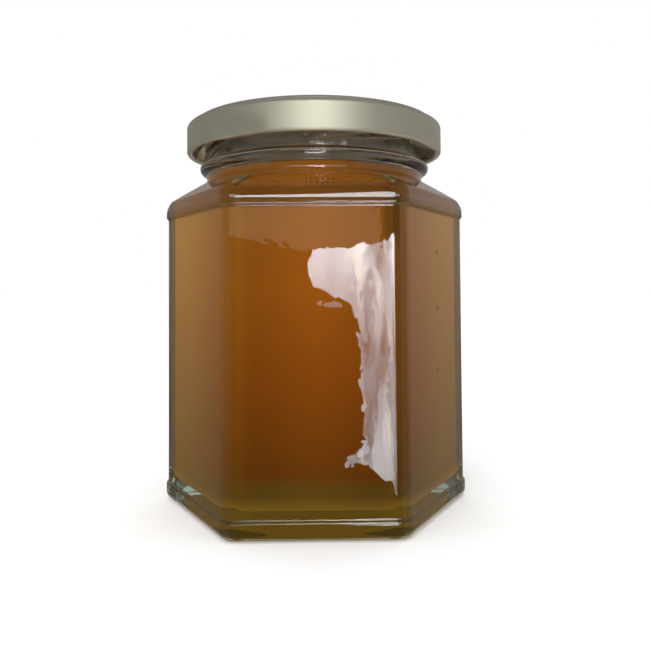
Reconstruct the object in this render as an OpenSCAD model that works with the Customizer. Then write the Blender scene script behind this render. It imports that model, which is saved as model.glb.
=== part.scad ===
// Hexagonal preserving jar with a rounded shoulder, filled with clear honey
// and closed with a four-lug twist cap. Millimetres, +Z up, origin at the
// centre of the base, one flat face towards -Y.

/* [Body] */
// Width across the recessed flat panels
panel_across = 67.2; // [60:0.2:80]
// Radius of the upright corners
corner_r = 4.0; // [3:0.1:6]
// How far the heel and shoulder bands stand proud of the panels
band_proud = 0.45; // [0.2:0.05:1]
// Height of the lower edge of the panels
panel_low = 4.9; // [4:0.1:8]
// Height of the recessed panels
panel_h = 66.6; // [40:0.2:100]
// Height of the slope that blends each step between panel and band
step_h = 0.9; // [0.3:0.1:1]
// Radius of the heel under the lower band
heel_r = 2.0; // [1:0.1:2.8]

/* [Shoulder and neck] */
// Height of the plain band above the panels
band_h = 0.7; // [0.5:0.1:4]
// Radius of the shoulder edge over the flats
shoulder_r = 5.6; // [3:0.1:6]
// Angle at which the shoulder leans over the flats
shoulder_lean = 38; // [32:1:50]
// Outer diameter of the neck below the cap
neck_d = 55.8; // [53:0.1:58]
// Height of the neck above the shoulder slope
neck_h = 15.6; // [13:0.1:20]
// How far the transfer bead stands out from the neck
bead_proud = 1.7; // [0.8:0.1:2]
// Radius of the transfer bead's section
bead_r = 1.4; // [1:0.1:1.6]
// Height of the bead above the foot of the neck
bead_lift = 4.0; // [2.5:0.1:4.5]
// Chamfer on both edges of the sealing rim
rim_chamfer = 0.6; // [0.3:0.1:0.8]

/* [Threads] */
// How far the lug threads stand out from the neck
thread_depth = 2.4; // [2:0.1:2.8]
// Height of a thread's section
thread_w = 2.2; // [1.6:0.1:2.4]
// Height of a thread's low end above the foot of the neck
thread_lift = 6.9; // [6.2:0.1:7.5]
// Rise of a thread from its low end to the middle of its lug
thread_rise = 3.8; // [3:0.1:4.2]
// Angle from a thread's low end to the middle of its lug
lug_lead = 63; // [50:1:70]
// Angle of a thread past its lug
thread_run = 16; // [10:1:20]
// Angle of the first thread's low end, from +X
thread_start = -95; // [-180:1:180]

/* [Wall and base] */
// Thickness of the glass wall
wall = 2.4; // [1.8:0.1:3]
// Thickness of the glass under the honey
base_t = 5.4; // [4.5:0.1:8]
// Radius of the inner edge of the floor
floor_r = 5; // [3:0.1:8]
// Least width of the flat ring that the jar stands on
bearing_w = 6; // [3:0.5:14]
// Depth of the hollow under the base
punt_h = 2.0; // [1:0.1:2.6]

/* [Honey] */
// Height of the honey above the foot of the neck
fill_lift = 2.4; // [-8:0.1:8]

/* [Cap] */
// Gap between the threads and the skirt
skirt_gap = 2.15; // [1.7:0.05:3]
// Thickness of the sheet
sheet_t = 0.45; // [0.3:0.05:0.6]
// Radius of the rolled curl's section
curl_r = 0.75; // [0.6:0.05:0.9]
// Radius of the edge at the top of the skirt
skirt_edge_r = 1.0; // [0.7:0.1:1.4]
// Height of the raised crown above the skirt's shelf
crown_h = 1.1; // [0.8:0.1:1.6]
// Width of the shelf between the skirt and the raised crown
shelf_w = 1.7; // [1.2:0.1:2.2]
// Radius of the crown's outer edge
crown_edge_r = 0.8; // [0.5:0.1:1]
// Gap between the sunken middle panel and the bore of the neck
middle_gap = 0.6; // [0.3:0.1:3]
// Depth of the sunken middle panel
middle_sink = 0.8; // [0.4:0.1:1.2]
// Width of a lug along the curl, in degrees
lug_span = 15; // [10:1:20]
// Gap between a lug's end and the neck
lug_gap = 0.5; // [0.3:0.1:1]
// Gap between a lug's top and the thread above it
lug_clear = 0.1; // [0.05:0.05:0.3]

/* [Detail] */
// Segments along each upright corner
corner_steps = 4; // [2:2:12]
// Segments along the rounded edges of the body
edge_steps = 4; // [3:1:10]
// Segments along a thread
thread_steps = 10; // [6:1:30]
// Smoothness of the turned shapes
turn_fn = 96; // [48:8:192]

/* [Hidden] */

lug_count = 4;
panel_a = panel_across / 2;
band_a = panel_a + band_proud;
panel_top = panel_low + panel_h;
edge_z = panel_top + step_h + band_h;             // where the shoulder edge starts
neck_r = neck_d / 2;
bore_r = neck_r - wall;
lean_in = shoulder_r * (1 - cos(shoulder_lean));  // inset at the end of the edge
lean_up = shoulder_r * sin(shoulder_lean);
slope_in = band_a - lean_in - neck_r;             // run of the slope over the flats
foot_z = edge_z + lean_up + slope_in * tan(shoulder_lean);
rim_z = foot_z + neck_h;
floor_z = base_t;
fill_z = foot_z + fill_lift;
// the inner slope is the outer one moved in by the wall, measured square to it
wall_drop = wall / cos(shoulder_lean) - wall * tan(shoulder_lean);

thread_r = neck_r + thread_depth;
thread_z = foot_z + thread_lift;
thread_slope = thread_rise / lug_lead;
// the curl hangs so that the lugs just meet the threads' undersides
lug_top = thread_z + thread_slope * (lug_lead - lug_span / 2) - thread_w / 2 - lug_clear;
curl_z = lug_top - 2 * curl_r;

cap_r = thread_r + skirt_gap + sheet_t;
crown_z = rim_z + sheet_t;                        // the cap's ceiling lies on the rim
crown_r = cap_r - shelf_w;
middle_r = bore_r - middle_gap - sheet_t - middle_sink;
punt_r = band_a - heel_r - bearing_w;

// Rounded hexagon with flats at distance a and corners of radius r
function hex_ring(a, r, z) = [
    for (k = [0 : 5], i = [0 : corner_steps])
        let (c = (a - r) / cos(30), t = 60 * k - 30 + 60 * i / corner_steps)
            [c * cos(60 * k) + r * cos(t), c * sin(60 * k) + r * sin(t), z]
];

// Rings of a rounded bottom edge: flats at a, edge radius e, lowest point z
function low_edge(a, r, e, z) = [
    for (i = [0 : edge_steps])
        let (t = 90 * i / edge_steps, inset = e * (1 - sin(t)))
            hex_ring(a - inset, max(r - inset / 2, 1), z + e * (1 - cos(t)))
];

// Rings of the shoulder: a rounded edge, then a slope whose corners open
// into the round neck
function shoulder(a, r, e, z, end_a) = concat(
    [for (i = [0 : edge_steps])
        let (t = shoulder_lean * i / edge_steps)
            hex_ring(a - e * (1 - cos(t)), r, z + e * sin(t))],
    [for (i = [1 : edge_steps])
        let (u = i / edge_steps,
             a0 = a - e * (1 - cos(shoulder_lean)),
             run = a0 - end_a)
            hex_ring(a0 - run * u, r + (end_a - 0.3 - r) * pow(u, 1.5),
                     z + e * sin(shoulder_lean) + run * u * tan(shoulder_lean))]
);

// Closed solid through a stack of rings
module skin(rings) {
    n = len(rings[0]);
    m = len(rings);
    polyhedron(
        points = [for (ring = rings) each ring],
        faces = concat(
            [[for (i = [0 : n - 1]) i]],
            [for (j = [0 : m - 2], i = [0 : n - 1])
                let (k = (i + 1) % n)
                    [j * n + i, (j + 1) * n + i, (j + 1) * n + k, j * n + k]],
            [[for (i = [n - 1 : -1 : 0]) (m - 1) * n + i]]
        ),
        convexity = 4
    );
}

module body_outside() {
    skin(concat(
        low_edge(band_a, corner_r, heel_r, 0),
        [hex_ring(band_a, corner_r, panel_low - step_h),
         hex_ring(panel_a, corner_r, panel_low),
         hex_ring(panel_a, corner_r, panel_top),
         hex_ring(band_a, corner_r, panel_top + step_h)],
        shoulder(band_a, corner_r, shoulder_r, edge_z, neck_r - 1)
    ));
}

// The hollow of the jar, up to height top
module cavity(top) {
    inner_a = panel_a - wall;
    inner_edge = shoulder_r - wall / 2;
    lean_x = inner_edge * (1 - cos(shoulder_lean));
    // keeps the inner slope parallel to the outer one
    drop = wall_drop - (shoulder_r - inner_edge) * sin(shoulder_lean)
        - (band_proud + lean_x - lean_in) * tan(shoulder_lean);
    intersection() {
        union() {
            skin(concat(
                low_edge(inner_a, corner_r, floor_r, floor_z),
                shoulder(inner_a, corner_r, inner_edge,
                         edge_z - drop, bore_r - 1)
            ));
            translate([0, 0, edge_z])
                cylinder(h = rim_z - edge_z + 1, r = bore_r, $fn = turn_fn);
        }
        translate([-panel_across, -panel_across, 0])
            cube([2 * panel_across, 2 * panel_across, top]);
    }
}

module neck() {
    rotate_extrude($fn = turn_fn) {
        polygon([
            [0, edge_z],
            [neck_r, edge_z],
            [neck_r, rim_z - rim_chamfer],
            [neck_r - rim_chamfer, rim_z],
            [0, rim_z]
        ]);
        translate([neck_r + bead_proud - bead_r, foot_z + bead_lift])
            circle(r = bead_r, $fn = 32);
    }
}

// One lug thread, swept up and round the neck, thin at both ends
module thread() {
    turn = lug_lead + thread_run;
    root_r = neck_r - wall / 3;
    sections = [
        for (i = [0 : thread_steps])
            let (u = i / thread_steps,
                 a = turn * u,
                 full = min(1, 5 * min(u, 1 - u) + 0.06),
                 z = thread_z + thread_slope * a,
                 r = root_r + (thread_r - root_r) * full,
                 h = thread_w / 2 * full)
                [[root_r, z + h], [r, z + h / 2], [r, z - h / 2], [root_r, z - h]]
    ];
    n = len(sections[0]);
    polyhedron(
        points = [
            for (i = [0 : thread_steps], p = sections[i])
                let (a = turn * i / thread_steps)
                    [p[0] * cos(a), p[0] * sin(a), p[1]]
        ],
        faces = concat(
            [[for (i = [0 : n - 1]) i]],
            [for (j = [0 : thread_steps - 1], i = [0 : n - 1])
                let (k = (i + 1) % n)
                    [j * n + i, (j + 1) * n + i, (j + 1) * n + k, j * n + k]],
            [[for (i = [n - 1 : -1 : 0]) thread_steps * n + i]]
        ),
        convexity = 4
    );
}

// Shallow hollow under the base, a cap of a sphere
module punt() {
    ball_r = (punt_r * punt_r + punt_h * punt_h) / (2 * punt_h);
    translate([0, 0, punt_h - ball_r])
        intersection() {
            sphere(r = ball_r, $fn = turn_fn);
            translate([0, 0, ball_r - punt_h - 1])
                cylinder(h = punt_h + 2, r = punt_r + 4, $fn = turn_fn);
        }
}

module jar() {
    color([0.80, 0.87, 0.82, 0.45])
        difference() {
            union() {
                body_outside();
                neck();
                for (i = [0 : lug_count - 1])
                    rotate([0, 0, thread_start + 360 / lug_count * i])
                        thread();
            }
            cavity(rim_z + 1);
            punt();
        }
}

module honey() {
    color([0.62, 0.33, 0.08])
        cavity(fill_z);
}

// Outline of the cap, moved in by t
function cap_outline(t) = concat(
    [[0, crown_z - middle_sink - t],
     [middle_r + t, crown_z - middle_sink - t],
     [middle_r + middle_sink + t, crown_z - t]],
    [for (i = [0 : edge_steps])
        let (a = 90 - 90 * i / edge_steps)
            [crown_r - crown_edge_r + (crown_edge_r - t) * cos(a),
             crown_z - crown_edge_r + (crown_edge_r - t) * sin(a)]],
    [[crown_r - t, crown_z - crown_h - t]],
    [for (i = [0 : edge_steps])
        let (a = 90 - 90 * i / edge_steps)
            [cap_r - skirt_edge_r + (skirt_edge_r - t) * cos(a),
             crown_z - crown_h - skirt_edge_r + (skirt_edge_r - t) * sin(a)]],
    [[cap_r - t, curl_z + curl_r - (t > 0 ? 1 : 0)],
     [0, curl_z + curl_r - (t > 0 ? 1 : 0)]]
);

// One lug: the curl pressed in under a thread
module lug() {
    lug_r = neck_r + lug_gap;
    rotate([0, 0, lug_lead - lug_span / 2])
        rotate_extrude(angle = lug_span, $fn = turn_fn)
            translate([lug_r, curl_z])
                square([cap_r - sheet_t / 2 - lug_r, 2 * curl_r]);
}

module lid() {
    color([0.72, 0.69, 0.58])
        union() {
            rotate_extrude($fn = turn_fn)
                difference() {
                    polygon(cap_outline(0));
                    polygon(cap_outline(sheet_t));
                }
            rotate_extrude($fn = turn_fn)
                translate([cap_r - curl_r, curl_z + curl_r])
                    circle(r = curl_r, $fn = 24);
            for (i = [0 : lug_count - 1])
                rotate([0, 0, thread_start + 360 / lug_count * i])
                    lug();
        }
}

jar();
honey();
lid();
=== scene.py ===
import math
import random
import bpy
from mathutils import Matrix, Vector


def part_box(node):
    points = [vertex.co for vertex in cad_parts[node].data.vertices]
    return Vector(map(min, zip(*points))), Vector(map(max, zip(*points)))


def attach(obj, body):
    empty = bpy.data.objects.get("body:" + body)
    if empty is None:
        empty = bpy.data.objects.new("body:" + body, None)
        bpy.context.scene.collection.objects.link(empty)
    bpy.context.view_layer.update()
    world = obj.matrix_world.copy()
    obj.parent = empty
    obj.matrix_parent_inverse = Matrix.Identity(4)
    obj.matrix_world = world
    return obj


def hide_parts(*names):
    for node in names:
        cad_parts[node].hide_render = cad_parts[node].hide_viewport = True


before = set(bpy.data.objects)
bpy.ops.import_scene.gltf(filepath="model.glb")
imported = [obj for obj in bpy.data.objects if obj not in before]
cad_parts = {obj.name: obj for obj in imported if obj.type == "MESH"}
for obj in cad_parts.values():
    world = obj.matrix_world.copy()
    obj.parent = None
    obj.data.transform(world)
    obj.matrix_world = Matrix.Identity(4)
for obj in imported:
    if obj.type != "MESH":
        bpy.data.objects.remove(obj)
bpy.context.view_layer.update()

mm = 0.001

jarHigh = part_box("jar")[1]
honeyLow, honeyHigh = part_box("honey")
lidLow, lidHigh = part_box("lid")


def smooth(low, high, value):
    t = min(1.0, max(0.0, (value - low) / (high - low)))
    return t * t * (3 - 2 * t)


def blendMax(a, b, width):
    # the larger of two radii, with a fillet where they cross
    h = max(width - abs(a - b), 0.0) / width
    return max(a, b) + h * h * width * 0.25


def hexRadius(angle, flat, corner):
    # distance from the axis to a rounded hexagon, corners along +X and every 60 degrees
    off = abs((math.degrees(angle) + 30) % 60 - 30)
    phi = math.radians(off)
    corner = min(corner, flat - 1e-6)
    c = (flat - corner) / math.cos(math.pi / 6)
    edge = math.atan2(corner / 2, c + corner * math.cos(math.pi / 6))
    if phi <= edge:
        return c * math.cos(phi) + math.sqrt(max(corner ** 2 - (c * math.sin(phi)) ** 2, 0))
    return flat / math.cos(math.pi / 6 - phi)


def meshObject(name, verts, faces, material, shade=True):
    mesh = bpy.data.meshes.new(name)
    mesh.from_pydata(verts, [], faces)
    mesh.validate()
    if shade:
        mesh.polygons.foreach_set("use_smooth", [True] * len(mesh.polygons))
    mesh.materials.append(material)
    mesh.update()
    obj = bpy.data.objects.new(name, mesh)
    bpy.context.scene.collection.objects.link(obj)
    return obj


def ringMesh(name, rows, angles, material):
    # rows run from the pole at the bottom, up the outside, over the top and back to a pole
    # each row is (radius function, height function), both of the angle
    count = len(angles)
    verts = [(0, 0, rows[0][1](0))]
    for radiusAt, heightAt in rows[1:-1]:
        for a in angles:
            r = radiusAt(a)
            verts.append((r * math.cos(a), r * math.sin(a), heightAt(a)))
    verts.append((0, 0, rows[-1][1](0)))
    last = len(verts) - 1
    faces = []
    for i in range(count):
        j = (i + 1) % count
        faces.append((0, 1 + j, 1 + i))
        top = last - count
        faces.append((last, top + i, top + j))
    for k in range(len(rows) - 3):
        base = 1 + k * count
        for i in range(count):
            j = (i + 1) % count
            faces.append((base + i, base + j, base + count + j, base + count + i))
    return meshObject(name, verts, faces, material)


def level(radius, height):
    # a row of constant height, its radius a number or a function of the angle
    return (radius if callable(radius) else (lambda a: radius), lambda a: height)


def newMaterial(name):
    mat = bpy.data.materials.new(name)
    mat.use_nodes = True
    tree = mat.node_tree
    tree.nodes.clear()
    return mat, tree, tree.nodes.new("ShaderNodeOutputMaterial")


def addNode(tree, kind, inputs=None, **settings):
    # an input is given another node's output or a plain value
    node = tree.nodes.new(kind)
    for key, value in settings.items():
        setattr(node, key, value)
    for key, value in (inputs or {}).items():
        if isinstance(value, bpy.types.NodeSocket):
            tree.links.new(value, node.inputs[key])
        else:
            node.inputs[key].default_value = value
    return node


def objectPlace(tree):
    return addNode(tree, "ShaderNodeTexCoord").outputs["Object"]


def axesOf(tree, place):
    return addNode(tree, "ShaderNodeSeparateXYZ", {0: place}).outputs


def stretched(tree, place, scale):
    return addNode(tree, "ShaderNodeMapping", {"Vector": place, "Scale": scale}).outputs["Vector"]


def noiseAt(tree, place, scale, detail=2.0, distortion=0.0):
    inputs = {"Vector": place, "Scale": scale, "Detail": detail, "Distortion": distortion}
    return addNode(tree, "ShaderNodeTexNoise", inputs).outputs["Fac"]


def bumpFrom(tree, height, distance, strength=1.0, normal=None):
    inputs = {"Height": height, "Distance": distance, "Strength": strength}
    if normal is not None:
        inputs["Normal"] = normal
    return addNode(tree, "ShaderNodeBump", inputs).outputs["Normal"]


def compute(tree, operation, *values):
    return addNode(tree, "ShaderNodeMath", dict(enumerate(values)), operation=operation).outputs[0]


def remap(tree, value, low, high, toLow=0.0, toHigh=1.0, kind="LINEAR"):
    # one range of values turned into another
    inputs = {"Value": value, "From Min": low, "From Max": high, "To Min": toLow, "To Max": toHigh}
    return addNode(tree, "ShaderNodeMapRange", inputs, interpolation_type=kind).outputs["Result"]


def mixColor(tree, kind, share, first, second):
    inputs = {0: share, 6: first, 7: second}
    return addNode(tree, "ShaderNodeMix", inputs, data_type="RGBA", blend_type=kind).outputs[2]


def rampOf(tree, source, stops):
    # a colour ramp through stops of place and colour
    ramp = addNode(tree, "ShaderNodeValToRGB", {"Fac": source})
    elements = ramp.color_ramp.elements
    for index, (place, color) in enumerate(stops):
        if index < 2:
            stop = elements[index]
            stop.position = place
        else:
            stop = elements.new(place)
        stop.color = color
    return ramp.outputs["Color"]


glassLook = {
    "tint": (0.96, 0.99, 0.97, 1),
    "shadow": (0.90, 0.93, 0.91, 1),
    "ior": 1.50,
    "absorb": (0.70, 0.86, 0.72, 1),
    "density": 20.0,
    "waveScale": 55.0,
    "waveDetail": 1.5,
    "waveStretch": (1, 1, 0.35),
    "waveDepth": 0.00010,
    "rippleScale": 420.0,
    "rippleDetail": 1.0,
    "rippleDepth": 0.000010,
}


def glassMaterial():
    look = glassLook
    mat, tree, out = newMaterial("clearGlass")
    place = objectPlace(tree)
    tall = stretched(tree, place, look["waveStretch"])
    waves = noiseAt(tree, tall, look["waveScale"], look["waveDetail"])
    ripples = noiseAt(tree, place, look["rippleScale"], look["rippleDetail"])
    uneven = bumpFrom(tree, waves, look["waveDepth"])
    uneven = bumpFrom(tree, ripples, look["rippleDepth"], normal=uneven)
    glass = addNode(tree, "ShaderNodeBsdfPrincipled", {
        "Base Color": look["tint"], "Roughness": 0.0, "IOR": look["ior"],
        "Transmission Weight": 1.0, "Normal": uneven})
    clear = addNode(tree, "ShaderNodeBsdfTransparent", {"Color": look["shadow"]})
    path = addNode(tree, "ShaderNodeLightPath")
    mix = addNode(tree, "ShaderNodeMixShader", {
        0: path.outputs["Is Shadow Ray"], 1: glass.outputs[0], 2: clear.outputs[0]})
    absorb = addNode(tree, "ShaderNodeVolumeAbsorption", {
        "Color": look["absorb"], "Density": look["density"]})
    tree.links.new(mix.outputs[0], out.inputs["Surface"])
    tree.links.new(absorb.outputs[0], out.inputs["Volume"])
    return mat


honeyLook = {
    # height above the floor in millimetres, and the colour of the front there; the ramp paints shade, darker
    # towards the bottom and in a band at the shoulder's edge
    "colors": [(5.4, (0.150, 0.080, 0.010, 1)), (10.5, (0.135, 0.068, 0.008, 1)),
               (14.0, (0.165, 0.047, 0.003, 1)), (32.0, (0.260, 0.066, 0.004, 1)),
               (54.0, (0.350, 0.100, 0.007, 1)), (71.6, (0.330, 0.105, 0.010, 1)),
               (72.2, (0.175, 0.065, 0.012, 1)), (75.4, (0.190, 0.070, 0.012, 1)),
               (76.2, (0.370, 0.125, 0.016, 1)), (82.8, (0.350, 0.128, 0.018, 1))],
    # painted light: an amber glow on the honey near its floor
    "glow": [(5.4, (0.120, 0.062, 0.008, 1)), (9.0, (0.0, 0.0, 0.0, 1))],
    "roughness": 0.5,
    "cloudScale": 28.0,
    "cloudShift": 0.04,
    # painted light: the colour is lifted near the middle, where x is small
    "middleReach": 15 * mm,
    "middleLift": 1.27,
    # what ends in Across is a distance from the middle; FullAt, End and Up are shares of the height
    "thin": (0.60, 0.278, 0.018, 1),
    "thinAcross": (12 * mm, 33 * mm),
    "thinShare": 0.85,
    "thinFullAt": 0.8,
    "thinAtFoot": 0.52,
    "thinEnd": (0.85, 0.87),
    "thinAbove": 0.25,
    "patchAcross": (14 * mm, 16 * mm),
    "patchUp": (0.72, 0.79),
    "patchShare": 0.6,
    "patchDeep": 0.7 * mm,
    # painted shade along the corners
    "sideShadeBand": (0.150, 0.098, 0.035, 1),
    "frontShadeLine": (0.085, 0.036, 0.010, 1),
}


def heightRamp(tree, source, stops):
    # a colour ramp over the honey's height
    deep = honeyHigh.z - honeyLow.z
    return rampOf(tree, source, [(min(1, max(0, (height * mm - honeyLow.z) / deep)), color)
                                 for height, color in stops])


def honeyMaterial():
    look = honeyLook
    soft = "SMOOTHSTEP"
    mat, tree, out = newMaterial("amberHoney")
    place = objectPlace(tree)
    x, y, z = axesOf(tree, place)
    across = compute(tree, "ABSOLUTE", x)
    rise = remap(tree, z, honeyLow.z, honeyHigh.z)
    cloud = noiseAt(tree, place, look["cloudScale"])
    shift = compute(tree, "MULTIPLY_ADD", cloud, look["cloudShift"], -look["cloudShift"] / 2)
    # painted light and shade: the height ramp, then lighter near the middle where x is small
    uneven = compute(tree, "ADD", rise, shift)
    middle = remap(tree, across, 0, look["middleReach"], look["middleLift"], 1, soft)
    deep = mixColor(tree, "MULTIPLY", 1.0, heightRamp(tree, uneven, look["colors"]), middle)
    # yellower towards the two side corners, where light comes through
    thin = remap(tree, across, *look["thinAcross"], 0, look["thinShare"], soft)
    below = remap(tree, rise, *look["thinEnd"], 1, look["thinAbove"], soft)
    fade = remap(tree, uneven, 0, look["thinFullAt"], look["thinAtFoot"])
    thinShade = mixColor(tree, "MULTIPLY", 1.0, look["thin"], fade)
    color = mixColor(tree, "MIX", compute(tree, "MULTIPLY", thin, below), deep, thinShade)
    # painted shade: a darker place high up beside the right front corner
    beside = remap(tree, x, *look["patchAcross"], 0, look["patchShare"], soft)
    above = remap(tree, rise, *look["patchUp"], kind=soft)
    front = compute(tree, "LESS_THAN", y, honeyLow.y + look["patchDeep"])
    patch = compute(tree, "MULTIPLY", compute(tree, "MULTIPLY", beside, above), front)
    color = mixColor(tree, "MIX", patch, color, look["frontShadeLine"])
    # painted shade: greyer, darker bands along the corners
    for name in ("sideShadeBand", "frontShadeLine"):
        mask = addNode(tree, "ShaderNodeAttribute", attribute_name=name)
        color = mixColor(tree, "MIX", mask.outputs["Fac"], color, look[name])
    # the emission is painted light, a glow near the honey's floor
    body = addNode(tree, "ShaderNodeBsdfPrincipled", {
        "Base Color": color, "Roughness": look["roughness"], "Specular IOR Level": 0.0,
        "Emission Color": heightRamp(tree, rise, look["glow"]), "Emission Strength": 1.0})
    tree.links.new(body.outputs[0], out.inputs["Surface"])
    return mat


lacquerLook = {
    "color": (0.385, 0.366, 0.290, 1),
    "inside": (0.62, 0.56, 0.45, 1),
    "metallic": 0.85,
    "insideMetallic": 0.1,
    "roughness": 0.50,
    "roughnessShift": 0.04,
    "grainScale": 1800.0,
    "grainStrength": 0.25,
    "grainDepth": 0.00002,
}


def lacquerMaterial():
    look = lacquerLook
    mat, tree, out = newMaterial("goldLacquer")
    grain = noiseAt(tree, objectPlace(tree), look["grainScale"])
    inside = addNode(tree, "ShaderNodeAttribute", attribute_name="inside").outputs["Fac"]
    smoothest = look["roughness"] - look["roughnessShift"]
    roughest = look["roughness"] + look["roughnessShift"]
    metal = addNode(tree, "ShaderNodeBsdfPrincipled", {
        "Base Color": mixColor(tree, "MIX", inside, look["color"], look["inside"]),
        "Metallic": remap(tree, inside, 0, 1, look["metallic"], look["insideMetallic"]),
        "Roughness": remap(tree, grain, 0, 1, smoothest, roughest),
        "Normal": bumpFrom(tree, grain, look["grainDepth"], look["grainStrength"])})
    tree.links.new(metal.outputs[0], out.inputs["Surface"])
    return mat


floorLook = {
    "pale": (0.79, 0.787, 0.783, 1),
    "shadeThroughGlass": (0.115, 0.075, 0.026, 1),
}


def floorMaterial():
    # pale from outside; painted shade, darker and warmer, where it is looked at through the glass
    mat, tree, out = newMaterial("paleFloor")
    path = addNode(tree, "ShaderNodeLightPath").outputs
    first = compute(tree, "LESS_THAN", path["Diffuse Depth"], 0.5)
    through = compute(tree, "MULTIPLY", path["Is Transmission Ray"], first)
    shade = mixColor(tree, "MIX", through, floorLook["pale"], floorLook["shadeThroughGlass"])
    body = addNode(tree, "ShaderNodeBsdfDiffuse", {"Color": shade})
    tree.links.new(body.outputs[0], out.inputs["Surface"])
    return mat


def glowMaterial(name, color, strength):
    mat, tree, out = newMaterial(name)
    glow = addNode(tree, "ShaderNodeEmission", {"Color": color, "Strength": strength})
    tree.links.new(glow.outputs[0], out.inputs["Surface"])
    return mat


jar = {
    "bandProud": 0.45 * mm,
    "panelLow": 4.9 * mm,
    "panelHigh": 71.5 * mm,
    "step": 0.9 * mm,
    "heel": 2.0 * mm,
    "bandHeight": 0.7 * mm,
    "edgeRadius": 5.6 * mm,
    "lean": math.radians(38),
    "neck": 27.9 * mm,
    "rimChamfer": 0.6 * mm,
    "beadProud": 1.7 * mm,
    "beadRadius": 1.4 * mm,
    "beadLift": 4.0 * mm,
    "threadDepth": 2.4 * mm,
    "threadWidth": 2.2 * mm,
    "threadLift": 6.9 * mm,
    "threadRise": 3.8 * mm,
    "threadLead": 63.0,
    "threadRun": 16.0,
    "threadStart": -95.0,
    "floorEdge": 5.0 * mm,
    "bearing": 6.0 * mm,
    "puntDepth": 2.0 * mm,
    "floorDome": 0.5 * mm,
    # where the painted shade bands along the honey's corners fall
    "sideBandFrom": 33.8 * mm,
    "sideBandTo": 34.8 * mm,
    "sideBandShare": 0.85,
    "frontLineFrom": 34.9 * mm,
    "frontLineSoft": 0.4 * mm,
    "frontLineRight": 0.5,
    "frontLineLeft": 0.2,
    "bandsEnd": (74 * mm, 77 * mm),
    "honeyReach": 0.12 * mm,
    "meniscus": 0.8 * mm,
}
jar["band"] = jarHigh.y
jar["panel"] = jar["band"] - jar["bandProud"]
jar["inner"] = honeyHigh.y
jar["wall"] = jar["panel"] - jar["inner"]
# the corner's radius follows from the widths over the flats and over the corners
jar["corner"] = (jar["band"] / math.cos(math.pi / 6) - jarHigh.x) / (1 / math.cos(math.pi / 6) - 1)
jar["bore"] = jar["neck"] - jar["wall"]
jar["edgeZ"] = jar["panelHigh"] + jar["step"] + jar["bandHeight"]
jar["rim"] = jarHigh.z
leanIn = jar["edgeRadius"] * (1 - math.cos(jar["lean"]))
leanUp = jar["edgeRadius"] * math.sin(jar["lean"])
jar["foot"] = (jar["edgeZ"] + leanUp
               + (jar["band"] - leanIn - jar["neck"]) * math.tan(jar["lean"]))


def jarAngles(flatSteps, cornerSteps, cornerHalf=7.0):
    # closer together round the corners than along the flats
    angles = []
    for k in range(6):
        for i in range(cornerSteps):
            angles.append(60 * k - cornerHalf + 2 * cornerHalf * i / cornerSteps)
        for i in range(flatSteps):
            angles.append(60 * k + cornerHalf + (60 - 2 * cornerHalf) * i / flatSteps)
    return [math.radians(a) for a in angles]


def shoulderRadius(angle, z, flat, edge, startZ, endFlat):
    # the rounded edge over the flats, then a slope whose corners open into the round neck
    lean = jar["lean"]
    up = z - startZ
    if up <= 0:
        return hexRadius(angle, flat, jar["corner"])
    if up < edge * math.sin(lean):
        return hexRadius(angle, flat - edge + math.sqrt(edge ** 2 - up ** 2), jar["corner"])
    start = flat - edge * (1 - math.cos(lean))
    inward = (up - edge * math.sin(lean)) / math.tan(lean)
    u = inward / (start - endFlat)
    if u >= 1:
        return 0.0
    corner = jar["corner"] + (endFlat - 0.3 * mm - jar["corner"]) * u ** 1.5
    return hexRadius(angle, start - inward, corner)


def threadHeight(angle, z):
    # how far the thread stands out at this place, as a share of its depth
    best = 0.0
    for k in range(4):
        turn = (math.degrees(angle) - jar["threadStart"] - 90 * k) % 360
        full = jar["threadLead"] + jar["threadRun"]
        if turn > full:
            continue
        middle = jar["foot"] + jar["threadLift"] + jar["threadRise"] * turn / jar["threadLead"]
        ends = smooth(0, 8, turn) * smooth(0, 12, full - turn)
        half = jar["threadWidth"] * (0.35 + 0.2 * ends)
        best = max(best, ends * (1 - smooth(half * 0.35, half, abs(z - middle))))
    return best


def neckRadius(angle, z):
    radius = jar["neck"]
    beadZ = jar["foot"] + jar["beadLift"]
    reach = jar["beadRadius"] ** 2 - (z - beadZ) ** 2
    if reach > 0:
        bead = jar["neck"] + jar["beadProud"] - jar["beadRadius"] + math.sqrt(reach)
        radius = blendMax(radius, bead, 0.5 * mm)
    radius += jar["threadDepth"] * threadHeight(angle, z)
    below = jar["rim"] - z
    if below < jar["rimChamfer"]:
        k = 1 - below / jar["rimChamfer"]
        radius -= jar["rimChamfer"] * (1 - math.sqrt(max(1 - k * k, 0)))
    return radius


def outerRadius(angle, z):
    band, panel, step = jar["band"], jar["panel"], jar["step"]
    if z < jar["edgeZ"]:
        sunk = smooth(jar["panelLow"] - step, jar["panelLow"], z)
        sunk *= 1 - smooth(jar["panelHigh"], jar["panelHigh"] + step, z)
        return hexRadius(angle, band + (panel - band) * sunk, jar["corner"])
    slope = shoulderRadius(angle, z, band, jar["edgeRadius"], jar["edgeZ"], jar["neck"] - 1 * mm)
    if z < jar["foot"] - 1.5 * mm:
        return slope
    return blendMax(slope, neckRadius(angle, z), 0.9 * mm)


innerEdge = jar["edgeRadius"] - jar["wall"] / 2
innerLean = innerEdge * (1 - math.cos(jar["lean"]))
# keeps the inner slope parallel to the outer one
innerDrop = (jar["wall"] / math.cos(jar["lean"]) - jar["wall"] * math.tan(jar["lean"])
             - (jar["edgeRadius"] - innerEdge) * math.sin(jar["lean"])
             - (jar["bandProud"] + innerLean - leanIn) * math.tan(jar["lean"]))
innerEdgeZ = jar["edgeZ"] - innerDrop


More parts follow.
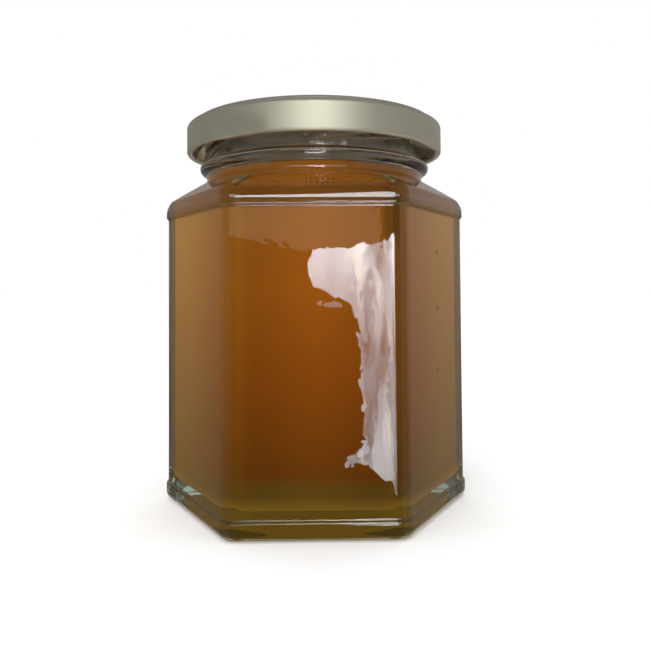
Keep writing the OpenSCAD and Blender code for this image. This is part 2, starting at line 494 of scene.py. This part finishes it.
def innerRadius(angle, z):
    floorZ = honeyLow.z
    edge = jar["floorEdge"]
    flat = jar["inner"]
    corner = jar["corner"]
    if z < floorZ + edge:
        up = floorZ + edge - z
        inset = edge - math.sqrt(max(edge ** 2 - up ** 2, 0))
        flat -= inset
        corner = max(corner - inset / 2, 1 * mm)
        return hexRadius(angle, flat, corner)
    slope = shoulderRadius(angle, z, flat, innerEdge, innerEdgeZ, jar["bore"] - 1 * mm)
    if z < innerEdgeZ:
        return slope
    bore = jar["bore"]
    below = jar["rim"] - z
    if below < jar["rimChamfer"]:
        k = 1 - below / jar["rimChamfer"]
        bore += jar["rimChamfer"] * (1 - math.sqrt(max(1 - k * k, 0)))
    return blendMax(slope, bore, 1.2 * mm)


def spread(low, high, count):
    return [low + (high - low) * i / count for i in range(count + 1)]


def arcHeights(low, high, count):
    # heights that crowd towards low, for a surface that turns flat there
    return [low + (high - low) * (1 - math.cos(math.pi / 2 * i / count)) for i in range(count + 1)]


def buildJar(material):
    low, high, step, edgeZ = jar["panelLow"], jar["panelHigh"], jar["step"], jar["edgeZ"]
    punt = jar["band"] - jar["heel"] - jar["bearing"]
    ball = (punt ** 2 + jar["puntDepth"] ** 2) / (2 * jar["puntDepth"])
    rows = [level(0, jar["puntDepth"])]
    for r in spread(0.06, 0.97, 16):
        z = jar["puntDepth"] - ball + math.sqrt(ball ** 2 - (punt * r) ** 2)
        rows.append(level(punt * r, z))
    rows.append(level(punt * 1.0, 0.06 * mm))
    rows.append(level(punt * 1.02, 0.0))

    def heelRow(t, inFlat=0.0):
        inset = jar["heel"] * (1 - math.sin(t)) + inFlat
        corner = max(jar["corner"] - inset / 2, 1 * mm)
        return level(lambda a, i=inset, c=corner: hexRadius(a, jar["band"] - i, c),
                     jar["heel"] * (1 - math.cos(t)))

    rows.append(heelRow(0, 2 * mm))
    for t in spread(0, math.pi / 2, 9):
        rows.append(heelRow(t))
    near = 0.12 * mm
    chamferZ = jar["rim"] - jar["rimChamfer"]
    rimHeights = [jar["rim"] - jar["rimChamfer"] * (1 - math.sin(t)) for t in spread(0, math.pi / 2, 6)[1:]]
    heights = spread(jar["heel"] + 0.4 * mm, low - step, 3)
    heights += spread(low - step, low, 5)[1:] + [low + near]
    heights += spread(low + 2 * near, high - 2 * near, 16)
    heights += [high - near, high]
    heights += spread(high, high + step, 5)[1:]
    heights += spread(high + step, edgeZ, 3)[1:]
    heights += spread(edgeZ, edgeZ + leanUp, 12)[1:]
    heights += spread(edgeZ + leanUp, jar["foot"] + 2 * mm, 22)[1:]
    heights += spread(jar["foot"] + 2 * mm, jar["rim"] - 2 * mm, 54)[1:]
    heights += spread(jar["rim"] - 2 * mm, chamferZ, 4)[1:]
    for z in heights + rimHeights:
        rows.append(level(lambda a, z=z: outerRadius(a, z), z))
    floorEdgeZ = honeyLow.z + jar["floorEdge"]
    inner = arcHeights(honeyLow.z, floorEdgeZ, 10)[:-1]
    inner += spread(floorEdgeZ, innerEdgeZ, 16)[:-1]
    inner += spread(innerEdgeZ, innerEdgeZ + 9 * mm, 34)
    inner += spread(innerEdgeZ + 9 * mm, chamferZ, 8)[1:]
    for z in reversed(inner + rimHeights):
        rows.append(level(lambda a, z=z: innerRadius(a, z), z))
    for k in (0.85, 0.7, 0.5, 0.3, 0.1):
        rows.append(level(lambda a, k=k: k * innerRadius(a, honeyLow.z),
                          honeyLow.z + jar["floorDome"] * smooth(1, 0.2, k)))
    rows.append(level(0, honeyLow.z + jar["floorDome"]))
    return ringMesh("jarGlass", rows, jarAngles(18, 22), material)


def buildHoney(material):
    angles = jarAngles(16, 34, 10.0)
    reach = jar["honeyReach"]
    low = honeyLow.z
    rows = [level(0, low + jar["floorDome"] - reach)]
    for k in (0.1, 0.3, 0.5, 0.7, 0.85):
        rows.append(level(lambda a, k=k: k * innerRadius(a, low),
                          low + jar["floorDome"] * smooth(1, 0.2, k) - reach))
    heights = arcHeights(low, low + jar["floorEdge"], 10)
    heights += spread(low + jar["floorEdge"], innerEdgeZ, 16)[1:]
    heights += spread(innerEdgeZ, honeyHigh.z, 34)[1:]
    for z in heights:
        rows.append(level(lambda a, z=z: innerRadius(a, z) + reach, z - reach * (z == low)))
    edge = jar["bore"] + reach
    # the surface climbs a little where it meets the glass
    for r in (0.05, 0.2, 0.5, 0.9, 1.6, 2.6, 4.5, 8, 13, 19):
        fall = jar["meniscus"] * (1 - math.exp(-r / 0.9))
        rows.append(level(edge - r * mm, honeyHigh.z - fall))
    rows.append(level(0, honeyHigh.z - jar["meniscus"]))
    body = ringMesh("honeyBody", rows, angles, material)
    # how strongly each corner's painted shade band shows
    side = body.data.attributes.new("sideShadeBand", "FLOAT", "POINT")
    front = body.data.attributes.new("frontShadeLine", "FLOAT", "POINT")
    tip = jar["frontLineFrom"]
    for index, vert in enumerate(body.data.vertices):
        x, y, z = vert.co
        lower = 1 - smooth(*jar["bandsEnd"], z)
        sideways = smooth(jar["sideBandFrom"], jar["sideBandTo"], abs(x))
        side.data[index].value = jar["sideBandShare"] * lower * sideways
        # how far out towards the nearer front or back corner
        out = max(abs(0.5 * x + 0.866 * y), abs(0.5 * x - 0.866 * y))
        offFlats = 1 if abs(y) < jar["inner"] - 0.1 * mm else 0
        share = jar["frontLineRight"] if x > 0 else jar["frontLineLeft"]
        front.data[index].value = share * offFlats * lower * smooth(tip, tip + jar["frontLineSoft"], out)
    return body


cap = {
    "radius": lidHigh.x,
    "top": lidHigh.z,
    "low": lidLow.z,
    "sheet": 0.45 * mm,
    "curl": 0.75 * mm,
    "skirtEdge": 1.0 * mm,
    "crownHeight": 1.1 * mm,
    "shelf": 1.7 * mm,
    "crownEdge": 1.05 * mm,
    "middleGap": 0.6 * mm,
    "middleSink": 0.8 * mm,
    "lugAngle": -32.0,
    "lugHalf": 7.5,
    "lugRamp": 7.0,
    "lugOutside": 0.7 * mm,
    "lugReach": 28.5 * mm,
    "pressHeight": 4.2 * mm,
    "buttonRadius": 12.5 * mm,
    "buttonRise": 0.35 * mm,
}


def lugShare(angle):
    off = abs((math.degrees(angle) - cap["lugAngle"] + 45) % 90 - 45)
    return 1 - smooth(cap["lugHalf"] - cap["lugRamp"] / 2, cap["lugHalf"] + cap["lugRamp"], off)


def buildCap(material):
    c = cap
    t = c["sheet"]
    crown = c["radius"] - c["shelf"]
    middle = jar["bore"] - c["middleGap"] - t - c["middleSink"]
    shelfZ = c["top"] - c["crownHeight"]
    curlR = c["radius"] - c["curl"]
    curlZ = c["low"] + c["curl"]
    path = []

    def arc(cx, cz, radius, start, end, steps):
        for a in spread(math.radians(start), math.radians(end), steps):
            path.append((cx + radius * math.cos(a), cz + radius * math.sin(a)))

    sunk = c["top"] - c["middleSink"]
    # outside, from the middle of the panel down to the curl
    for r in (0.3, 0.6, 0.85):
        path.append((c["buttonRadius"] * r, sunk + c["buttonRise"]))
    for u in spread(0, 1, 6):
        fall = 1 - smooth(0, 1, u)
        path.append((c["buttonRadius"] * (0.92 + 0.16 * u), sunk + c["buttonRise"] * fall))
    buttonEdge = c["buttonRadius"] * 1.08
    for u in spread(0.12, 0.94, 5):
        path.append((buttonEdge + (middle - buttonEdge) * u, sunk))
    for u in spread(0, 1, 8):
        r = middle - 0.3 * mm + (c["middleSink"] + 0.6 * mm) * u
        path.append((r, sunk + c["middleSink"] * smooth(0, 1, u)))
    for u in spread(0.1, 0.9, 6):
        low = middle + c["middleSink"] + 0.3 * mm
        path.append((low + (crown - c["crownEdge"] - low) * u, c["top"]))
    arc(crown - c["crownEdge"], c["top"] - c["crownEdge"], c["crownEdge"], 90, 0, 8)
    arc(crown + 0.3 * mm, shelfZ + 0.3 * mm, 0.3 * mm, 180, 270, 5)
    arc(c["radius"] - c["skirtEdge"], shelfZ - c["skirtEdge"], c["skirtEdge"], 90, 0, 10)
    for z in spread(shelfZ - c["skirtEdge"], curlZ, 22)[1:]:
        path.append((c["radius"], z))
    arc(curlR, curlZ, c["curl"], -10, -270, 20)
    inside = c["radius"] - t
    path.append((inside - 0.35 * mm, curlZ + c["curl"] * 1.15))
    for z in spread(curlZ + c["curl"] * 1.5, shelfZ - t - 0.6 * mm, 10):
        path.append((inside, z))
    path.append((inside - 0.4 * mm, shelfZ - t - 0.1 * mm))
    path.append((crown - t + 0.1 * mm, shelfZ - t))
    path.append((crown - t, c["top"] - t - 0.4 * mm))
    path.append((crown - t - 0.4 * mm, c["top"] - t))
    path.append((middle + c["middleSink"] + t, c["top"] - t))
    path.append((middle + t, sunk - t))
    path.append((middle * 0.5, sunk - t))

    def place(r, z):
        # presses the lower edge in at the lugs, the inner side of the curl further
        press = 1 - smooth(c["low"] + c["curl"] * 1.2, c["low"] + c["pressHeight"] + c["curl"], z)
        if r < crown:
            press = 0.0
        deep = smooth(c["radius"] - t - 0.1 * mm, c["radius"] - 2.2 * c["curl"], r)
        full = c["lugOutside"] + (c["radius"] - 2 * c["curl"] - c["lugReach"] - c["lugOutside"]) * deep

        def radiusAt(a):
            return r - full * press * lugShare(a)
        return (radiusAt, lambda a: z)

    rows = [level(0, path[0][1])] + [place(r, z) for r, z in path] + [level(0, path[-1][1])]
    angles = [2 * math.pi * i / 300 for i in range(300)]
    # the outline runs from the top down, so the ring order is turned to face outwards
    body = ringMesh("lidShell", rows, angles[::-1], material)
    inner = body.data.attributes.new("inside", "FLOAT", "FACE")
    for face in body.data.polygons:
        n, m = face.normal, face.center
        inward = n.x * m.x + n.y * m.y < -0.3 * m.xy.length and m.z < c["top"] - 1 * mm
        under = n.z < -0.5 and m.z > c["low"] + 4 * mm
        inner.data[face.index].value = 1.0 if inward or under else 0.0
    return body


marks = {
    "pocketSize": (0.8 * mm, 1.3 * mm, 2.9 * mm),
    "pocketZ": 77.6 * mm,
    "pocketTilt": -56.0,
    "speckSize": 0.60 * mm,
    "specks": [(62.3, 0.56), (49.1, 0.56), (34.2, 0.55)],
    "stippleSize": 0.22 * mm,
    "stippleStep": 0.95 * mm,
    "stippleShift": 0.18 * mm,
    # height and depth in the glass, in millimetres
    "stippleRows": ((0.8, 1.1), (1.6, 0.8), (2.5, 0.65), (3.4, 0.65), (4.3, 0.65)),
    "stippleHalf": 24.0,
    "dotSize": 0.32 * mm,
    "dotStep": 1.05 * mm,
    "dotShift": 0.03 * mm,
    "dotRows": (76.7 * mm, 77.7 * mm),
    "dotSpan": (-1.9 * mm, 4.1 * mm),
    # two colours, the scale of the mottle, roughness
    "pocketFinish": ((0.20, 0.12, 0.035, 1), (0.36, 0.25, 0.11, 1), 420.0, 0.08),
    "stippleFinish": ((0.10, 0.11, 0.075, 1), (0.42, 0.48, 0.36, 1), 700.0, 0.3),
    "dotFinish": ((0.085, 0.032, 0.006, 1), (0.13, 0.050, 0.010, 1), 900.0, 0.6),
    "speckFinish": ((0.30, 0.085, 0.010, 1), (0.42, 0.13, 0.014, 1), 900.0, 0.8),
}


def mottled(name, low, high, scale, roughness):
    # a fine mottle of two colours
    mat, tree, out = newMaterial(name)
    fleck = noiseAt(tree, objectPlace(tree), scale)
    body = addNode(tree, "ShaderNodeBsdfPrincipled", {
        "Base Color": rampOf(tree, fleck, [(0.42, low), (0.62, high)]),
        "Roughness": roughness, "Specular IOR Level": 0.5 if roughness < 0.5 else 0.05})
    tree.links.new(body.outputs[0], out.inputs["Surface"])
    return mat


def blob(center, size, turn, steps=14, tilt=0.0):
    # a closed egg: points and faces, its first size along the turned direction
    verts = [(0, 0, -1)]
    for i in range(1, steps):
        tall = -math.cos(math.pi * i / steps)
        wide = math.sin(math.pi * i / steps)
        for j in range(2 * steps):
            a = math.pi * j / steps
            verts.append((wide * math.cos(a), wide * math.sin(a), tall))
    verts.append((0, 0, 1))
    count = 2 * steps
    faces = []
    for j in range(count):
        k = (j + 1) % count
        faces.append((0, 1 + k, 1 + j))
        faces.append((len(verts) - 1, len(verts) - 1 - count + j, len(verts) - 1 - count + k))
        for i in range(steps - 2):
            base = 1 + i * count
            faces.append((base + j, base + k, base + count + k, base + count + j))
    placed = []
    for x, y, z in verts:
        x, y, z = x * size[0], y * size[1], z * size[2]
        x, z = x * math.cos(tilt) + z * math.sin(tilt), z * math.cos(tilt) - x * math.sin(tilt)
        placed.append((center[0] + x * math.cos(turn) - y * math.sin(turn),
                       center[1] + x * math.sin(turn) + y * math.cos(turn), center[2] + z))
    return placed, faces


def joinBlobs(name, blobs, material):
    verts, faces = [], []
    for points, sides in blobs:
        start = len(verts)
        verts += points
        faces += [tuple(start + i for i in side) for side in sides]
    return meshObject(name, verts, faces, material)


def buildPockets(material):
    # one flat air pocket in the slope of the shoulder at each corner
    blobs = []
    for k in range(6):
        a = math.radians(60 * k)
        z = marks["pocketZ"]
        out = outerRadius(a, z + 1.3 * mm)
        blobs.append(blob((out * math.cos(a), out * math.sin(a), z), marks["pocketSize"], a,
                          tilt=math.radians(marks["pocketTilt"])))
    return joinBlobs("airPockets", blobs, material)


def buildSpecks(material):
    # a few crumbs of wax against the glass of the right-hand face
    blobs = []
    for height, share in marks["specks"]:
        a = math.radians(-60 + 60 * share)
        out = innerRadius(a, height * mm) + 0.12 * mm
        size = (0.15 * mm, 1.6 * marks["speckSize"], marks["speckSize"])
        blobs.append(blob((out * math.cos(a), out * math.sin(a), height * mm), size, a, 8))
    return joinBlobs("waxSpecks", blobs, material)


def dotTree():
    # dots along the edges it is given: even steps, a little shaken, one dot on each
    tree = bpy.data.node_groups.new("dotsAlong", "GeometryNodeTree")
    face = tree.interface
    face.new_socket(name="Geometry", in_out="INPUT", socket_type="NodeSocketGeometry")
    sockets = {}
    for name, kind, value in (("Step", "Float", 1 * mm), ("Dot Radius", "Float", 0.3 * mm),
                              ("Shake", "Float", 0.0), ("Seed", "Int", 4), ("Material", "Material", None)):
        socket = face.new_socket(name=name, in_out="INPUT", socket_type="NodeSocket" + kind)
        if value is not None:
            socket.default_value = value
        sockets[name] = socket.identifier
    face.new_socket(name="Geometry", in_out="OUTPUT", socket_type="NodeSocketGeometry")
    given = addNode(tree, "NodeGroupInput").outputs
    curve = addNode(tree, "GeometryNodeMeshToCurve", {"Mesh": given["Geometry"]})
    even = addNode(tree, "GeometryNodeResampleCurve", {
        "Curve": curve.outputs[0], "Length": given["Step"]}, mode="LENGTH")
    negative = compute(tree, "MULTIPLY", given["Shake"], -1.0)
    shake = addNode(tree, "FunctionNodeRandomValue", data_type="FLOAT_VECTOR")
    for name, source in (("Min", negative), ("Max", given["Shake"]), ("Seed", given["Seed"])):
        tree.links.new(source, shake.inputs[name])
    move = addNode(tree, "GeometryNodeSetPosition", {
        "Geometry": even.outputs[0], "Offset": shake.outputs[0]})
    dot = addNode(tree, "GeometryNodeMeshIcoSphere", {"Radius": given["Dot Radius"], "Subdivisions": 1})
    onPoints = addNode(tree, "GeometryNodeInstanceOnPoints", {
        "Points": move.outputs[0], "Instance": dot.outputs["Mesh"]})
    real = addNode(tree, "GeometryNodeRealizeInstances", {0: onPoints.outputs[0]})
    soft = addNode(tree, "GeometryNodeSetShadeSmooth", {0: real.outputs[0]})
    paint = addNode(tree, "GeometryNodeSetMaterial", {
        "Geometry": soft.outputs[0], "Material": given["Material"]})
    addNode(tree, "NodeGroupOutput", {0: paint.outputs[0]})
    return tree, sockets


def dotsAlong(name, lines, settings, material):
    # lines are lists of points; the result is one plain mesh
    tree, sockets = dotTree()
    verts, edges = [], []
    for line in lines:
        start = len(verts)
        verts += line
        edges += [(start + i, start + i + 1) for i in range(len(line) - 1)]
    mesh = bpy.data.meshes.new(name + "Path")
    mesh.from_pydata(verts, edges, [])
    path = bpy.data.objects.new(name + "Path", mesh)
    bpy.context.scene.collection.objects.link(path)
    nodes = path.modifiers.new("dots", "NODES")
    nodes.node_group = tree
    for key, value in settings.items():
        nodes[sockets[key]] = value
    nodes[sockets["Material"]] = material
    graph = bpy.context.evaluated_depsgraph_get()
    made = bpy.data.meshes.new_from_object(path.evaluated_get(graph), depsgraph=graph)
    bpy.data.objects.remove(path)
    made.name = name
    obj = bpy.data.objects.new(name, made)
    bpy.context.scene.collection.objects.link(obj)
    return obj


def outerHeel(angle, z):
    if z >= jar["heel"]:
        return outerRadius(angle, z)
    inset = jar["heel"] - math.sqrt(max(jar["heel"] ** 2 - (jar["heel"] - z) ** 2, 0))
    return hexRadius(angle, jar["band"] - inset, max(jar["corner"] - inset / 2, 1 * mm))


def buildStipple(material):
    # seed-like dots in the glass of the heel, by the two side corners
    lines = []
    half = math.radians(marks["stippleHalf"])
    for z, inward in marks["stippleRows"]:
        for side in (0, math.pi):
            line = []
            for a in spread(side - half, side + half, 60):
                out = outerHeel(a, z * mm) - inward * mm
                line.append((out * math.cos(a), out * math.sin(a), z * mm))
            lines.append(line)
    settings = {"Step": marks["stippleStep"], "Dot Radius": marks["stippleSize"],
                "Shake": marks["stippleShift"]}
    return dotsAlong("heelStipple", lines, settings, material)


def buildMouldDots(material):
    # two plain, even rows of raised dots on the front of the shoulder
    lines = []
    for z in marks["dotRows"]:
        line = []
        for x in spread(*marks["dotSpan"], 8):
            a = -math.pi / 2
            for step in range(3):
                a = math.atan2(-math.sqrt(max(outerRadius(a, z) ** 2 - x ** 2, 0)), x)
            out = outerRadius(a, z) - 0.3 * marks["dotSize"]
            line.append((out * math.cos(a), out * math.sin(a), z))
        lines.append(line)
    settings = {"Step": marks["dotStep"], "Dot Radius": marks["dotSize"], "Shake": marks["dotShift"]}
    return dotsAlong("mouldDots", lines, settings, material)


view = {
    "eye": Vector((0.0, -0.18125, 0.05371)),
    "sensor": 36,
    "lens": 36 * 690.58 / 651,
    "lift": -57.15 / 651,
    "yaw": -0.0152,
    "pitch": 0.0296,
    "roll": -0.0065,
}

stage = {
    "floorHalf": 6.0,
    "roomLight": 1.35,
    "throughColor": (1.0, 0.97, 0.90, 1),
    "throughRise": (0.03, 0.16),
    "throughLow": 0.26,
    "throughHigh": 0.62,
    # from straight down to straight up
    "mirrorSky": [(0.0, (1.0, 0.90, 0.78, 1)), (0.18, (1.0, 0.90, 0.78, 1)), (0.27, (0.8, 0.72, 0.62, 1)),
                  (0.34, (0.22, 0.21, 0.19, 1)), (0.50, (0.34, 0.34, 0.34, 1)),
                  (0.62, (0.50, 0.50, 0.50, 1)), (0.74, (0.20, 0.20, 0.19, 1)), (1.0, (0.20, 0.20, 0.19, 1))],
    "mirrorSide": (0.65, 1.12),
    "keyPlace": (-0.35, -0.9, 0.75),
    "keySize": (0.8, 0.6),
    "keyEnergy": 6.0,
    "cardDistance": 1.0,
    # colour, strength, distance behind the window, corners in degrees across and up
    "cards": {
        "darkCard": ((0.03, 0.03, 0.03, 1), 1.0, 0.04, [(-40, -34), (40, -34), (40, 60), (-40, 60)]),
        "wallCard": ((1.0, 0.92, 0.62, 1), 1.2, 0.03, [(-40, 4.4), (-6.6, 4.2), (-4, 3.9), (-1.6, 3.2),
                                                       (5.4, 3.4), (5.6, 6.9), (-40, 6.9)]),
        "softCard": ((0.97, 0.98, 1.0, 1), 13.0, 0.02, [(-7.6, 12.4), (9, 11.9), (9, 34), (0, 24),
                                                        (-7.6, 19)]),
        "softAsideCard": ((0.97, 0.98, 1.0, 1), 4.0, 0.02, [(-30, 13), (-7.8, 13), (-7.8, 26), (-30, 26)]),
        "softBesideCard": ((0.97, 0.98, 1.0, 1), 4.2, 0.02, [(9.2, 12), (30, 12), (30, 25), (9.2, 25)]),
        "lowCard": ((1.0, 0.94, 0.87, 1), 11.0, 0.02, [(-9, -22), (9, -19), (9, -46), (-9, -38)]),
    },
    "heelShade": (0.030, 0.022, 0.008, 1),
    "heelShadeNear": -34 * mm,
    "heelShadeFar": -46 * mm,
    "heelShadeHalf": 20 * mm,
    "ovalColor": (0.9, 0.9, 1.0, 1),
    "ovalStrength": 3.5,
    "ovalMiddle": (1.3, -1.45),
    "ovalReach": (0.8, 0.28),
}


def card(name, points, material):
    # a flat glowing or dark card, seen only in reflections
    obj = meshObject(name, points, [tuple(range(len(points)))], material, shade=False)
    obj.visible_camera = False
    obj.visible_diffuse = False
    obj.visible_transmission = False
    obj.visible_shadow = False


def cardPatch(name, outline, distance, material):
    # corners in the directions that the front panel mirrors to the camera
    eye = view["eye"]
    start = Vector((eye.x, -2 * jar["panel"] - eye.y, eye.z))
    points = []
    for azimuth, elevation in outline:
        a, e = math.radians(azimuth), math.radians(elevation)
        reach = distance / math.cos(a)
        points.append(start + Vector((math.sin(a) * reach, -math.cos(a) * reach, math.tan(e) * reach)))
    card(name, points, material)


def buildStage():
    half = stage["floorHalf"]
    floor = meshObject("floor", [(-half, -half, 0), (half, -half, 0), (half, half, 0), (-half, half, 0)],
                       [(0, 1, 2, 3)], floorMaterial(), shade=False)
    floor.visible_glossy = False
    distance = stage["cardDistance"]
    for name, (color, strength, behind, outline) in stage["cards"].items():
        cardPatch(name, outline, distance + behind, glowMaterial(name, color, strength))
    # keeps the low card out of the heel's reflection
    near, far, wide, z = stage["heelShadeNear"], stage["heelShadeFar"], stage["heelShadeHalf"], -0.5 * mm
    card("heelShade", [(-wide, far, z), (wide, far, z), (wide, near, z), (-wide, near, z)],
         glowMaterial("heelShade", stage["heelShade"], 1.0))
    cardPatch("windowCard", windowOutline(), distance, windowMaterial())
    (a, e), (across, up) = stage["ovalMiddle"], stage["ovalReach"]
    oval = [(a + across * math.cos(t), e + up * math.sin(t)) for t in spread(0, 2 * math.pi, 16)[:-1]]
    cardPatch("ovalCard", oval, distance, glowMaterial("ovalCard", stage["ovalColor"], stage["ovalStrength"]))


windowLook = {
    "corners": [(-0.15, 3.2), (-0.35, 2.4), (-0.75, 1.7), (-0.2, 0.9), (0.1, 0.1), (0.8, -0.4), (1.9, -0.7),
                (2.8, -1.0), (3.2, -2.2), (3.5, -5.0), (3.6, -8.5), (4.0, -10.5), (4.0, -12.6), (2.9, -13.6),
                (2.7, -14.4), (4.4, -14.3), (5.6, -15.2), (7.0, -16.4), (10.0, -17), (10.0, 4.6), (6.6, 4.6),
                (5.6, 3.6), (4.6, 3.9), (3.0, 3.4)],
    "foldScale": 46.0,
    "foldStretch": (1, 1, 0.10),
    "foldColors": [(0.38, (0.30, 0.31, 0.32, 1)), (0.52, (0.74, 0.88, 0.98, 1)),
                   (0.62, (1.35, 1.38, 1.30, 1))],
    "foldsFrom": (0.02, 0.075),
    "foldsLeft": 0.25,
    "flat": (0.74, 0.88, 0.98, 1),
    "strength": 14.5,
    "fallHeights": (-0.26, 0.14),
    "fall": [(0.0, 0.55), (0.22, 0.68), (0.40, 0.58), (0.55, 0.48), (0.70, 0.60), (0.80, 0.82), (1.0, 1.25)],
}


def windowOutline():
    # the corners joined by short steps with a small unevenness
    chance = random.Random(5)
    corners = windowLook["corners"]
    outline = []
    for index, (a, e) in enumerate(corners):
        nextA, nextE = corners[(index + 1) % len(corners)]
        for u in (0, 0.33, 0.66):
            outline.append((a + (nextA - a) * u + chance.uniform(-0.06, 0.06),
                            e + (nextE - e) * u + chance.uniform(-0.06, 0.06)))
    return outline


def windowMaterial():
    # a bright curtain with soft upright folds, deep at the right and almost none at the left
    look = windowLook
    mat, tree, out = newMaterial("window")
    place = objectPlace(tree)
    x, y, z = axesOf(tree, place)
    folds = noiseAt(tree, stretched(tree, place, look["foldStretch"]), look["foldScale"], 3.0, 0.6)
    depth = remap(tree, x, *look["foldsFrom"], look["foldsLeft"], kind="SMOOTHSTEP")
    cloth = mixColor(tree, "MIX", depth, look["flat"], rampOf(tree, folds, look["foldColors"]))
    # brightest at the top, dimmer half way down
    stops = [(height, (value, value, value, 1)) for height, value in look["fall"]]
    fall = rampOf(tree, remap(tree, z, *look["fallHeights"]), stops)
    shade = mixColor(tree, "MULTIPLY", 1.0, cloth, fall)
    glow = addNode(tree, "ShaderNodeEmission", {"Color": shade, "Strength": look["strength"]})
    tree.links.new(glow.outputs[0], out.inputs["Surface"])
    return mat


def buildLights():
    world = bpy.data.worlds.new("studio")
    bpy.context.scene.world = world
    world.use_nodes = True
    tree = world.node_tree
    tree.nodes.clear()
    x, y, z = axesOf(tree, addNode(tree, "ShaderNodeTexCoord").outputs["Generated"])
    path = addNode(tree, "ShaderNodeLightPath").outputs

    def sky(color, strength):
        return addNode(tree, "ShaderNodeBackground", {"Color": color, "Strength": strength}).outputs[0]

    def orElse(ray, usual, special):
        return addNode(tree, "ShaderNodeMixShader", {0: path[ray], 1: usual, 2: special}).outputs[0]

    mirror = sky(rampOf(tree, remap(tree, z, -1, 1), stage["mirrorSky"]),
                 remap(tree, x, -0.8, 0.8, *stage["mirrorSide"]))
    # what the glass shows behind it: brighter overhead than near the floor
    steep = remap(tree, z, *stage["throughRise"], stage["throughLow"], stage["throughHigh"], "SMOOTHSTEP")
    white = (1, 1, 1, 1)
    light = orElse("Is Transmission Ray", sky(white, stage["roomLight"]), sky(stage["throughColor"], steep))
    light = orElse("Is Glossy Ray", light, mirror)
    light = orElse("Is Camera Ray", light, sky(white, 1.0))
    addNode(tree, "ShaderNodeOutputWorld", {"Surface": light})

    lamp = bpy.data.lights.new("softKey", "AREA")
    lamp.shape = "RECTANGLE"
    lamp.size, lamp.size_y = stage["keySize"]
    lamp.energy = stage["keyEnergy"]
    key = bpy.data.objects.new("softKey", lamp)
    bpy.context.scene.collection.objects.link(key)
    key.location = stage["keyPlace"]
    key.rotation_euler = (Vector((0, 0, 0.05)) - key.location).to_track_quat("-Z", "Y").to_euler()
    key.visible_glossy = False
    key.visible_transmission = False


def buildCamera():
    data = bpy.data.cameras.new("camera")
    data.sensor_width = view["sensor"]
    data.lens = view["lens"]
    data.shift_y = view["lift"]
    data.clip_start = 0.01
    data.clip_end = 50
    obj = bpy.data.objects.new("camera", data)
    bpy.context.scene.collection.objects.link(obj)
    obj.location = view["eye"]
    yaw, pitch, roll = view["yaw"], view["pitch"], view["roll"]
    forward = Vector((-math.sin(yaw) * math.cos(pitch), math.cos(yaw) * math.cos(pitch), math.sin(pitch)))
    sideways = Vector((math.cos(yaw), math.sin(yaw), 0))
    upright = sideways.cross(forward)
    right = sideways * math.cos(roll) + upright * math.sin(roll)
    up = -sideways * math.sin(roll) + upright * math.cos(roll)
    obj.rotation_euler = Matrix((right, up, -forward)).transposed().to_euler()
    bpy.context.scene.camera = obj


print("stage and camera")
buildCamera()
buildStage()
buildLights()
print("jar and honey")
jarPiece = buildJar(glassMaterial())
honeyPiece = buildHoney(honeyMaterial())
print("cap")
capPiece = buildCap(lacquerMaterial())
print("pockets, specks and dots")
air = mottled("airPocket", *marks["pocketFinish"])
seeds = mottled("heelDots", *marks["stippleFinish"])
raised = mottled("mouldDots", *marks["dotFinish"])
crumb = mottled("waxSpeck", *marks["speckFinish"])
for piece, slot in ((buildPockets(air), "clear_glass"), (buildStipple(seeds), "clear_glass"),
                    (buildMouldDots(raised), "clear_glass"), (buildSpecks(crumb), "amber_honey")):
    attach(piece, "root")
for piece, node, slot in ((jarPiece, "jar", "clear_glass"), (honeyPiece, "honey", "amber_honey"),
                          (capPiece, "lid", "gold_lacquer")):
    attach(piece, "root")
    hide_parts(node)

bpy.context.scene.view_settings.view_transform = "Standard"
bpy.context.view_layer.update()
